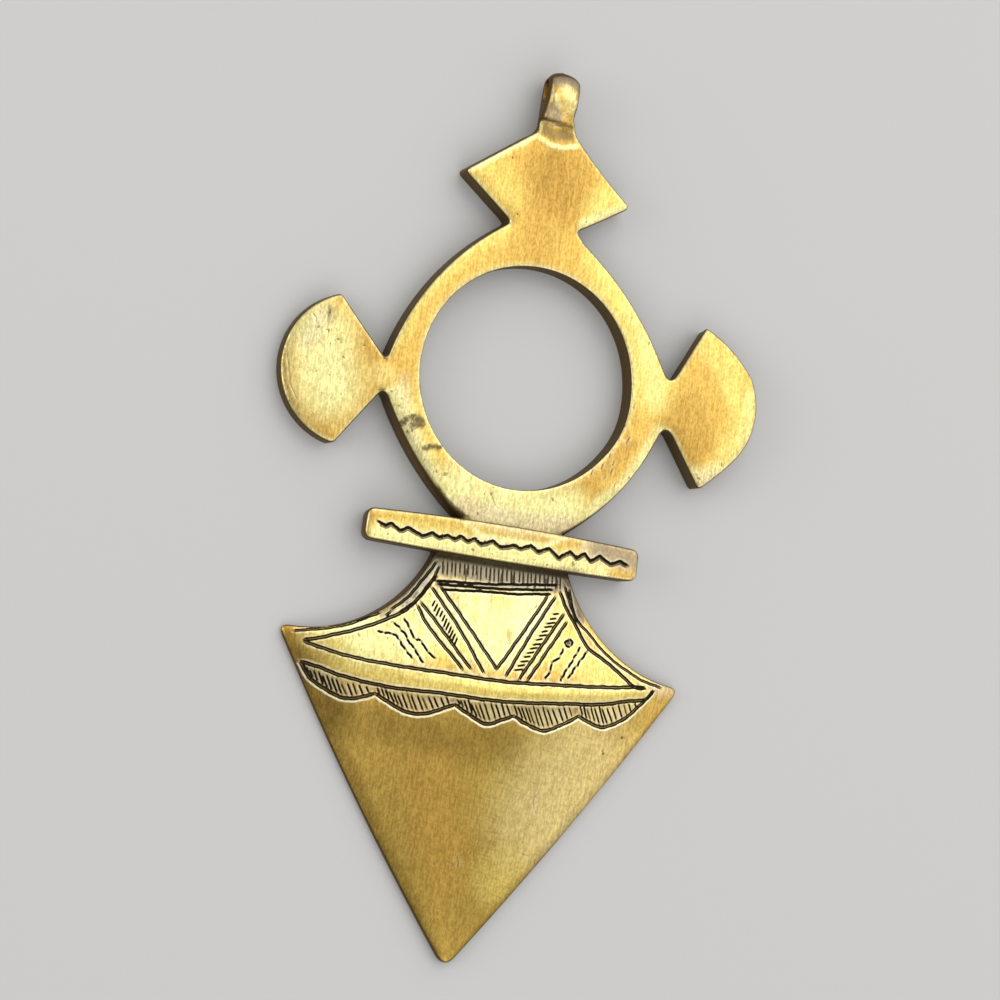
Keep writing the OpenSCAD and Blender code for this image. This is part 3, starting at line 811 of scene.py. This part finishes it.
def carve(points):
    """Height that the graver leaves at each point, how black it is, and how strong the painted
    highlight on its burrs and thin ridges is.
    """
    tree = planted(SAMPLES)
    rise, ink, bright = (np.zeros(len(points)) for _ in range(3))
    for k, (x, y) in enumerate(points):
        nearest = {}
        for _, i, gap in tree.find_range((x, y, 0), cut_reach):
            number = SAMPLES[i, 5]
            if number not in nearest or gap < nearest[number][0]:
                nearest[number] = gap, i
        low = high = 0
        for gap, i in nearest.values():
            half, deep, floor = SAMPLES[i, 2:5]
            t = gap / half
            if deep < 0:
                ridge = max(0, 1 - t * t)
                high = max(high, -deep * ridge)
                # Painted highlight along a thin ridge
                bright[k] = max(bright[k], ridge * (half < 0.3))
                continue
            black = min(1, max(0, (half + soil_reach - gap) / soil_fade))
            black *= min(1, deep / soil_depth)
            if floor:
                black *= 0.5 + 0.5 * min(1, t / 0.5)
            ink[k] = max(ink[k], black)
            swell = max(0, math.sin(math.pi * min(1, (gap - half) / burr_w)))
            if t < 1:
                low = max(low, deep * (1 - t**3 if floor else 1 - t**1.6))
            else:
                high = max(high, deep * burr_h * swell)
                # Painted highlight on the raised lip beside the cut
                bright[k] = max(bright[k], burr_shine * swell * min(1, deep / burr_depth))
        rise[k] = -low if low > 0 else high
    return rise, ink, bright * (1 - ink)


def pitted(points):
    """Depth of the small cast pits at each point, and how black they are."""
    deep, ink = np.zeros(len(points)), np.zeros(len(points))
    for x, y, size in PITS:
        gap = np.hypot(points[:, 0] - x, points[:, 1] - y) / (size / 2)
        deep = np.maximum(deep, pit_depth * size * np.clip(1 - gap**2, 0, 1))
        ink = np.maximum(ink, pit_soil * np.clip(1.5 - gap, 0, 1))
    return deep, ink


def worn_radius(radius, x, y):
    """Radius of the plate's edge, grown by wear at the loop and low on the ring."""
    low = left_wear * smooth(-y, 2, 10) * (x < 0) + low_wear * smooth(-y, 9.5, 15)
    return radius + loop_wear * smooth(y, 27.2, 28.6) + low * (x > -15.4)


def front_height(points):
    """Height of the front over each point, before anything is cut into it."""
    x, y = points.T
    best = np.full(len(points), -1.0)
    for line, face, radius, fall, width in PARTS:
        depth = distance(points, line)
        held = inside(points, line) | (depth < 1e-4)
        z = face(x, y)
        if line is plate_line:
            radius = worn_radius(radius, x, y)
            hole = distance(points, window_line)
            rim, sink, reach = WINDOW_EDGE
            z = z - shoulder(hole, rim) - sink * (1 - smooth(hole, 0, reach))
        z = z - shoulder(depth, radius) - fall * (1 - np.clip(depth / width, 0, 1)) ** 2
        best = np.maximum(best, np.where(held, z, -1))
    return np.maximum(best, back_face(x, y) + 2 * back_round)


def grid(step, keep):
    """Points of a triangular grid over the whole part, where keep holds."""
    xs = np.arange(*GRID_X, step)
    ys = np.arange(*GRID_Y, step * 0.866)
    gx, gy = np.meshgrid(xs, ys)
    gx = gx + (np.arange(len(ys))[:, None] % 2) * step / 2
    points = np.stack([gx.ravel(), gy.ravel()], 1)
    return points[keep(points)]


def body(p):
    return inside(p, plate_line) | inside(p, bar_line) | inside(p, blade_line)


def detailed(p):
    """Whether each point lies in a box of fine detail."""
    x, y = p.T
    boxes = [(x > a) & (x < b) & (y > c) & (y < d) for a, b, c, d in FINE_BOXES]
    return np.any(boxes, 0)


def edge_rows(loops):
    """Rows of points that follow the rounded edges, inside each outline."""
    rows = []
    widths = (PLATE_EDGE, BAR_EDGE, BLADE_EDGE, WINDOW_EDGE)
    for line, (radius, _, _) in zip(loops, widths):
        sign = -1 if line is window_line else 1
        for share in EDGE_ROWS:
            gap = radius * share
            row = line + sign * normals(line) * gap
            rows.append(row[np.abs(distance(row, line) - gap) < 0.02 * radius])
    return np.concatenate(rows)


def cut_rows():
    """Rows of points in the middle, on the shoulders and on the burrs of every cut."""
    middle, shoulders, burrs = [], [], []
    for line, half, deep, floor in CUTS:
        step = max(2, round(1.3 * min(half, 0.2) / cut_step))
        row = line[::step]
        if len(row) < 2:
            row = line[:: len(line) - 1]
        middle.append(row)
        for side in (-1, 1):
            shoulders.append(beside(row, side * half))
            if floor:
                shoulders.append(beside(row, side * half * 0.5))
            burrs.append(beside(row, side * (half + 0.085)))
    turn = np.arange(6) * math.pi / 3
    for x, y, size in PITS:
        middle.append(np.array([(x, y)]))
        for reach in (0.25, 0.55):
            ring = np.stack([np.cos(turn), np.sin(turn)], 1) * size * reach
            shoulders.append(ring + (x, y))
    return thinned(np.concatenate(middle + shoulders + burrs), least_gap)


def ring_edges(lines):
    """Edges that close each line, numbered through all the lines."""
    edges = []
    for line in lines:
        base = len(edges)
        edges += [(base + i, base + (i + 1) % len(line)) for i in range(len(line))]
    return edges


def triangulated(points, edges, slack):
    """Points and faces of a triangulation that keeps the given edges."""
    made, _, faces, *_ = delaunay_2d_cdt([Vector(p) for p in points], edges, [], 0, slack)
    return np.array([v[:] for v in made]), np.array(faces)


def skin():
    """The whole front as points and faces, in the drawing's frame."""
    loops = [plate_line, bar_line, blade_line, window_line]
    bar_foot = bar_line - normals(bar_line) * foot_step
    rings = loops + [bar_foot]

    def away(p, gap):
        return np.min([distance(p, line) for line in loops], 0) > gap

    cuts = cut_rows()
    cuts = cuts[body(cuts) & away(cuts, cut_clear)]
    plain = grid(plain_step, lambda p: body(p) & ~detailed(p))
    plain = plain[away(plain, plain_clear)]
    fine = grid(fine_step, lambda p: body(p) & detailed(p))
    fine = fine[away(fine, fine_clear)]
    rows = edge_rows(loops)
    grown = np.concatenate([fine, plain])
    near = planted(cuts)
    grown = grown[[near.find((*p, 0))[2] > grid_clear for p in grown]]
    free = np.concatenate([thinned(np.concatenate([cuts, rows]), least_gap), grown])
    verts, faces = triangulated(np.concatenate(rings + [free]), ring_edges(rings), 1e-5)
    middle = verts[faces].mean(1)
    faces = faces[body(middle) & ~inside(middle, window_line)]
    used, faces = np.unique(faces, return_inverse=True)
    return verts[used], faces.reshape(-1, 3)


def boundary_loops(faces):
    """Rings of points along the open edges, each in the direction of its faces."""
    edges = np.concatenate([faces[:, [0, 1]], faces[:, [1, 2]], faces[:, [2, 0]]])
    have = {tuple(e) for e in edges.tolist()}
    ahead = {a: b for a, b in have if (b, a) not in have}
    loops = []
    while ahead:
        start, at = ahead.popitem()
        loop = [start]
        while at != start:
            loop.append(at)
            at = ahead.pop(at)
        loops.append(np.array(loop))
    return loops


def drafted(points, z):
    """Points of the side walls, drawn in towards the back where the casting is."""
    out = points.copy()
    x, y = points.T
    low = np.clip(1 - z / plate_t, 0, 1)
    share = loop_draft * smooth(y, *loop_draft_y) * low
    out[:, 0] = loop_mid_x + (x - loop_mid_x) * (1 - share)
    at_bar = np.abs(y - bar_y) < bar_half
    out[:, 0] += bar_draft * low * (1 - smooth(x, *bar_end_x)) * at_bar
    lean = 1 - smooth(line_distance(points, PADDLE_SIDE), 0, paddle_reach)
    return out + np.outer(low * lean, paddle_draft)


def wall_below(line, top):
    """Rows of points from an edge of the front down its wall and round the back edge."""
    left = normals(line)
    low = back_face(*line.T)
    stops = [(share, 0) for share in np.linspace(0, 1, wall_rows + 1)[1:]]
    stops += [(1, math.radians(turn)) for turn in (35, 65, 90)]
    rows = []
    for share, turn in stops:
        z = top + (low + back_round - top) * share - back_round * math.sin(turn)
        flat = drafted(line, z) + left * back_round * (1 - math.cos(turn))
        rows.append(np.column_stack([flat, z]))
    return rows


def back_cap(lines, ids, count):
    """The back's inner points, and its faces between them and the numbered rings."""
    def height(line):
        return np.ptp(line[:, 1])

    outer, window = max(lines, key=height), min(lines, key=height)
    inner = np.concatenate([
        grid(back_step, lambda p: inside(p, outer)),
        grid(loop_step, lambda p: (p[:, 1] > loop_low) & inside(p, outer)),
    ])
    inner = inner[np.min([distance(inner, line) for line in lines], 0) > back_clear]
    edges = ring_edges(lines)
    made, faces = triangulated(np.concatenate(lines + [inner]), edges, 1e-6)
    middle = made[faces].mean(1)
    faces = faces[inside(middle, outer) & ~inside(middle, window)][:, ::-1]
    inner = made[len(edges):]
    ids = np.concatenate([ids, np.arange(count, count + len(inner))])
    return np.column_stack([inner, back_face(*inner.T)]), ids[faces]


def closed_shell(verts, faces):
    """Adds the side walls, the rounded back edge and the back to the front skin."""
    z = front_height(verts) + carve(verts)[0] - pitted(verts)[0]
    points = [np.column_stack([verts, z])]
    count = len(verts)
    quads, lines, ids = [], [], []
    for loop in boundary_loops(faces):
        upper = loop
        for row in wall_below(verts[loop], z[loop]):
            lower = np.arange(count, count + len(loop))
            sides = [upper, np.roll(upper, 1), np.roll(lower, 1), lower]
            quads += np.stack(sides, 1).tolist()
            points.append(row)
            count += len(loop)
            upper = lower
        lines.append(row[:, :2])
        ids.append(lower)
    inner, back = back_cap(lines, np.concatenate(ids), count)
    return np.concatenate(points + [inner]), faces.tolist() + quads + back.tolist()


def linked(name, data):
    """New object in the scene."""
    obj = bpy.data.objects.new(name, data)
    bpy.context.scene.collection.objects.link(obj)
    return obj


def new_object(name, points, faces):
    """Mesh object from points in millimetres."""
    mesh = bpy.data.meshes.new(name)
    mesh.from_pydata((points * MM).tolist(), [], [tuple(f) for f in faces])
    mesh.update()
    return linked(name, mesh)


def spool(name):
    """Cutter for the cord's hole, flared at both ends."""
    sides = 48
    verts = [
        (loop_mid_x + spool_shift + x, loop_y + WINDOW_Y + r * math.cos(a),
         loop_r + r * math.sin(a))
        for x, r in SPOOL
        for a in (2 * math.pi * i / sides for i in range(sides))
    ]
    rings = np.arange(len(verts)).reshape(-1, sides)
    ahead = np.roll(rings, -1, 1)
    quads = np.stack([rings[:-1], ahead[:-1], ahead[1:], rings[1:]], -1).reshape(-1, 4)
    return new_object(name, np.array(verts), [*quads, rings[0, ::-1], rings[-1]])


def casting():
    """The whole pendant as one closed mesh, with the cord's hole cut through."""
    points, faces = closed_shell(*skin())
    points[:, 1] += WINDOW_Y
    obj = new_object("pendant_casting", points, faces)
    cutter = spool("hole_cutter")
    cut = obj.modifiers.new("cord_hole", "BOOLEAN")
    cut.object = cutter
    cut.operation = "DIFFERENCE"
    cut.solver = "EXACT"
    graph = bpy.context.evaluated_depsgraph_get()
    mesh = bpy.data.meshes.new_from_object(obj.evaluated_get(graph))
    obj.modifiers.clear()
    obj.data = mesh
    bpy.data.objects.remove(cutter)
    mesh.shade_smooth()
    mesh.set_sharp_from_angle(angle=math.radians(38))
    return obj


def vectors(mesh, name):
    """One vector for each point of the mesh."""
    values = np.empty(len(mesh.vertices) * 3, np.float32)
    mesh.vertices.foreach_get(name, values)
    return values.reshape(-1, 3)


def age(obj):
    """Stores what the material needs to know about each point of the mesh."""
    mesh = obj.data
    points = vectors(mesh, "co") / MM - (0, WINDOW_Y, 0)
    up = vectors(mesh, "normal")[:, 2]
    flat = points[:, :2]
    face = front_height(flat)
    front = (points[:, 2] > face - front_depth) & (up > front_up)
    _, ink, bright = carve(flat)
    # ink is soil in the cuts and pits; bright is the painted highlight on burrs and thin ridges
    layers = {"ink": np.maximum(ink, pitted(flat)[1]) * front, "bright": bright * front}
    for kind, patches in PATINA_AND_LIGHT.items():
        best = np.zeros(len(points))
        for reach, strength, line in patches:
            gap = line_distance(flat, line) / reach
            best = np.maximum(best, strength * (1 - smooth(gap, *patch_fade)))
        layers[kind] = best * front
    # Walls darker as their normals turn from up, the back half as dark: oxide and painted shade
    layers["wall"] = np.where(up > -0.5, 1 - smooth(up, 0.4, 0.85), 0.5)
    # Nearness to the rims, for rubbed brass with a painted highlight along them
    rims = [distance(flat, line) for line in (plate_line, bar_line, window_line)]
    layers["edge"] = np.clip(1.5 - np.min(rims, 0) / 0.3, 0, 1) * front
    # Painted shadow and dark patina along the bar's foot, full on the neck below it, weaker above
    # it
    foot = np.clip(1.9 - distance(flat, bar_line) / 0.45, 0, 1) * (points[:, 2] < bar_t - 0.5)
    under = np.where(flat[:, 1] < -18, 1, 0.35)
    layers["foot"] = foot * under * (np.abs(flat[:, 0] - 0.6) < 8.8) * (up > 0.3)
    for name, values in layers.items():
        layer = mesh.attributes.new(name, "FLOAT", "POINT")
        layer.data.foreach_set("value", values.astype(np.float32))


class Shader:
    """Short way to build the node tree of one material."""

    def __init__(self, name):
        self.mat = bpy.data.materials.new(name)
        self.mat.use_nodes = True
        self.tree = self.mat.node_tree
        self.bsdf = self.tree.nodes["Principled BSDF"]
        self.place = self.add("TexCoord").outputs["Object"]

    def put(self, socket, value):
        if isinstance(value, bpy.types.NodeSocket):
            self.tree.links.new(value, socket)
        else:
            socket.default_value = value

    def add(self, kind, inputs=(), **settings):
        node = self.tree.nodes.new("ShaderNode" + kind)
        for key, value in settings.items():
            setattr(node, key, value)
        for key, value in dict(inputs).items():
            self.put(node.inputs[key], value)
        return node

    def noise(self, per_mm, detail, rough, twist=0):
        """Noise from 0 to 1, with so many cycles a millimetre along x, y and z."""
        vector = self.place
        if twist:
            turn = self.add("VectorRotate", {"Vector": vector, "Angle": twist},
                            rotation_type="Z_AXIS")
            vector = turn.outputs[0]
        scale = tuple(1000 * c for c in per_mm)
        vector = self.add("VectorMath", {0: vector, 1: scale}, operation="MULTIPLY").outputs[0]
        node = self.add("TexNoise", {"Vector": vector, "Scale": 1.0, "Detail": detail,
                                     "Roughness": rough})
        return node.outputs["Fac"]

    def layer(self, name):
        return self.add("Attribute", attribute_name=name).outputs["Fac"]

    def math(self, operation, a, b):
        return self.add("Math", {0: a, 1: b}, operation=operation).outputs[0]

    def plus(self, a, b):
        return self.math("ADD", a, b)

    def times(self, a, b):
        return self.math("MULTIPLY", a, b)

    def span(self, value, low, high, to_low=0.0, to_high=1.0):
        """Value carried smoothly from one range to another, and held at its ends."""
        return self.add(
            "MapRange", {0: value, 1: low, 2: high, 3: to_low, 4: to_high},
            interpolation_type="SMOOTHSTEP",
        ).outputs[0]

    def mix(self, share, a, b, blend="MIX"):
        node = self.add("Mix", data_type="RGBA", blend_type=blend)
        self.put(node.inputs[0], share)
        self.put(node.inputs[6], a)
        self.put(node.inputs[7], b)
        return node.outputs[2]

    def lay(self, share, name):
        """Lays a colour over the brass as it is so far."""
        self.brass = self.mix(share, self.brass, tone(name))

    def bump(self, height, strength, mm, under=None):
        """Normal of a relief that is so many millimetres deep, over the one under it."""
        inputs = {"Height": height, "Strength": strength, "Distance": mm * MM}
        if under is not None:
            inputs["Normal"] = under
        return self.add("Bump", inputs).outputs[0]


def tone(name):
    return (*COLOURS[name], 1)


def broken(sh, name, noise, ragged, strength, crisp=False):
    """A painted layer whose border is broken up by noise."""
    paint = sh.layer(name)
    shift = sh.times(sh.math("SUBTRACT", noise, 0.5), ragged)
    value = sh.plus(paint, sh.times(shift, paint))
    if crisp:
        return sh.span(value, 0.05, 0.95, 0.0, strength)
    return sh.add("Math", {0: value, 1: strength}, operation="MULTIPLY", use_clamp=True).outputs[0]


def noises(sh):
    """Brush marks, grain, clouds and specks, shared by all that the material shows."""
    return SimpleNamespace(
        fine=sh.noise((5, 0.9, 3), 2, 0.6),
        grain=sh.noise((4, 2.6, 4), 2, 0.6),
        streak=sh.noise((2, 0.2, 1), 3, 0.6),
        across=sh.noise((0.35, 4.6, 2), 1, 0.5, twist=0.12),
        cloud=sh.noise((0.13, 0.11, 0.13), 3, 0.55),
        mottle=sh.noise((0.7, 0.5, 0.7), 4, 0.6),
        specks=sh.noise((1.9, 1.5, 1.9), 1, 0.5),
    )


def patina_and_painted_light(sh, n):
    """Gold with painted patches of patina, highlight and shade, rubbed rims with a painted
    highlight, and a pinkish-grey film, partly painted reflection.
    """
    sh.brass = sh.mix(sh.span(n.cloud, 0.35, 0.65), tone("gold"), tone("light_gold"))
    for name, ragged, strength in PATCHES:
        sh.lay(broken(sh, name, n.mottle, ragged, strength), name)
    # Rims lightened: rubbed brass and a painted highlight along them
    worn = sh.times(sh.layer("edge"), sh.span(n.mottle, 0.2, 0.55, 0.2, 1))
    sh.lay(sh.times(worn, 0.85), "worn")
    # Pinkish-grey film, partly painted reflection
    sh.lay(broken(sh, "satin_and_reflection", n.grain, 1.6, 0.7), "satin_and_reflection")


def brushed(sh, n):
    """Brush marks on the brass, and scores across the blade."""
    brush = sh.plus(sh.times(n.fine, 0.4), sh.times(n.grain, 0.4))
    brush = sh.plus(brush, sh.times(n.streak, 0.2))
    shade = sh.mix(sh.span(brush, 0.38, 0.62), tone("brush_light"), tone("brush_dark"))
    sh.brass = sh.mix(1.0, sh.brass, shade, "MULTIPLY")
    often = sh.times(sh.layer("olive"), sh.span(n.cloud, 0.35, 0.6, 0.5, 1.5))
    scored = sh.times(sh.span(n.across, 0.56, 0.72, 0, 0.3), often)
    sh.lay(scored, "score")


def soil_and_painted_shade(sh, n):
    """Soil, painted shade on the walls, in corners and under the bar, and painted highlights on
    the burrs. Returns its film, which is partly painted shade, and how dull it is.
    """
    # Grey-brown patina, with painted shade on the loop and a painted reflection below its ridge
    smoke_and_shade = broken(sh, "smoke_and_shade", n.grain, 0.9, 0.95, crisp=True)
    sh.lay(smoke_and_shade, "smoke_and_shade")
    # Dark patina, with painted shade in the notches and in the corner of ring and bar
    rag = sh.plus(sh.times(n.mottle, 0.4), sh.times(n.grain, 0.6))
    grime_and_shade = broken(sh, "grime_and_shade", rag, 3.0, 0.9, crisp=True)
    sh.lay(grime_and_shade, "grime_and_shade")
    spots = sh.span(sh.layer("cream"), 0, 1, 0.12, 1)
    spots = sh.times(sh.span(n.specks, 0.69, 0.75, 0, 0.7), spots)
    sh.lay(spots, "speck")
    # Painted highlight on the burrs and thin ridges
    sh.lay(sh.times(sh.layer("bright"), 0.95), "burr_highlight")
    # Darkened side walls: oxide and painted shade
    wall = sh.plus(sh.layer("wall"), sh.times(n.mottle, 0.25))
    wall = sh.span(wall, 0.2, 0.95)
    sh.lay(wall, "wall")
    # Painted shadow under the bar, laid with the black of the cuts
    foot = sh.span(sh.layer("foot"), 0, 1, 0, 0.85)
    ink = sh.math("MAXIMUM", sh.span(sh.layer("ink"), 0.2, 0.85), foot)
    sh.lay(ink, "ink")
    dull = sh.math("MAXIMUM", ink, sh.times(wall, 0.5))
    return sh.math("MAXIMUM", grime_and_shade, smoke_and_shade), dull


def brass_material():
    """Aged, hand-brushed brass: gold with pale wear, amber and grey-brown patina, and painted
    highlights, reflections and shade.
    """
    sh = Shader("aged_brass")
    n = noises(sh)
    patina_and_painted_light(sh, n)
    brushed(sh, n)
    film, dull = soil_and_painted_shade(sh, n)
    rough = sh.span(n.streak, 0.25, 0.75, 0.31, 0.40)
    spoilt = sh.times(sh.math("MAXIMUM", film, dull), 0.25)
    normal = sh.bump(sh.plus(n.fine, n.streak), 0.8, 0.018)
    normal = sh.bump(n.mottle, 0.5, 0.05, normal)
    normal = sh.bump(n.grain, 0.8, 0.018, normal)
    inputs = {
        "Base Color": sh.brass,
        "Metallic": sh.span(dull, 0, 1, 1, 0.25),
        "Specular IOR Level": sh.span(dull, 0, 0.6, 0.5, 0.06),
        "Roughness": sh.plus(rough, spoilt),
        "Normal": normal,
    }
    for name, value in inputs.items():
        sh.put(sh.bsdf.inputs[name], value)
    return sh.mat


def camera():
    data = bpy.data.cameras.new("camera")
    data.sensor_width = sensor_w
    data.lens = focal_length
    data.clip_start = 0.01
    obj = linked("camera", data)
    obj.location = Vector(CAMERA_PLACE) * MM
    obj.rotation_euler = [math.radians(a) for a in CAMERA_TURN]
    bpy.context.scene.camera = obj


def lamp(name, place, size, watts):
    """Soft rectangular light, placed in millimetres and aimed at the origin."""
    data = bpy.data.lights.new(name, "AREA")
    data.shape = "RECTANGLE"
    data.size, data.size_y = size[0] * MM, size[1] * MM
    data.energy = watts
    obj = linked(name, data)
    obj.location = Vector(place) * MM
    obj.rotation_euler = (-Vector(place)).to_track_quat("-Z", "Y").to_euler()


def ground():
    """Pale floor under the pendant."""
    corners = np.array([(-1, -1, 0), (1, -1, 0), (1, 1, 0), (-1, 1, 0)]) * floor_half
    obj = new_object("floor", corners, [(0, 1, 2, 3)])
    sh = Shader("pale_floor")
    sh.put(sh.bsdf.inputs["Base Color"], tone("floor"))
    sh.put(sh.bsdf.inputs["Roughness"], floor_rough)
    obj.data.materials.append(sh.mat)


def sky():
    """Even light from all sides."""
    world = bpy.data.worlds.new("studio")
    world.use_nodes = True
    background = world.node_tree.nodes["Background"]
    background.inputs["Color"].default_value = tone("sky")
    background.inputs["Strength"].default_value = sky_strength
    bpy.context.scene.world = world


pendant = casting()
age(pendant)
pendant.data.materials.clear()
pendant.data.materials.append(brass_material())
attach(pendant, "root")
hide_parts(NODE)
camera()
ground()
sky()
for name, settings in LAMPS.items():
    lamp(name, *settings)
bpy.context.scene.view_settings.view_transform = "Standard"
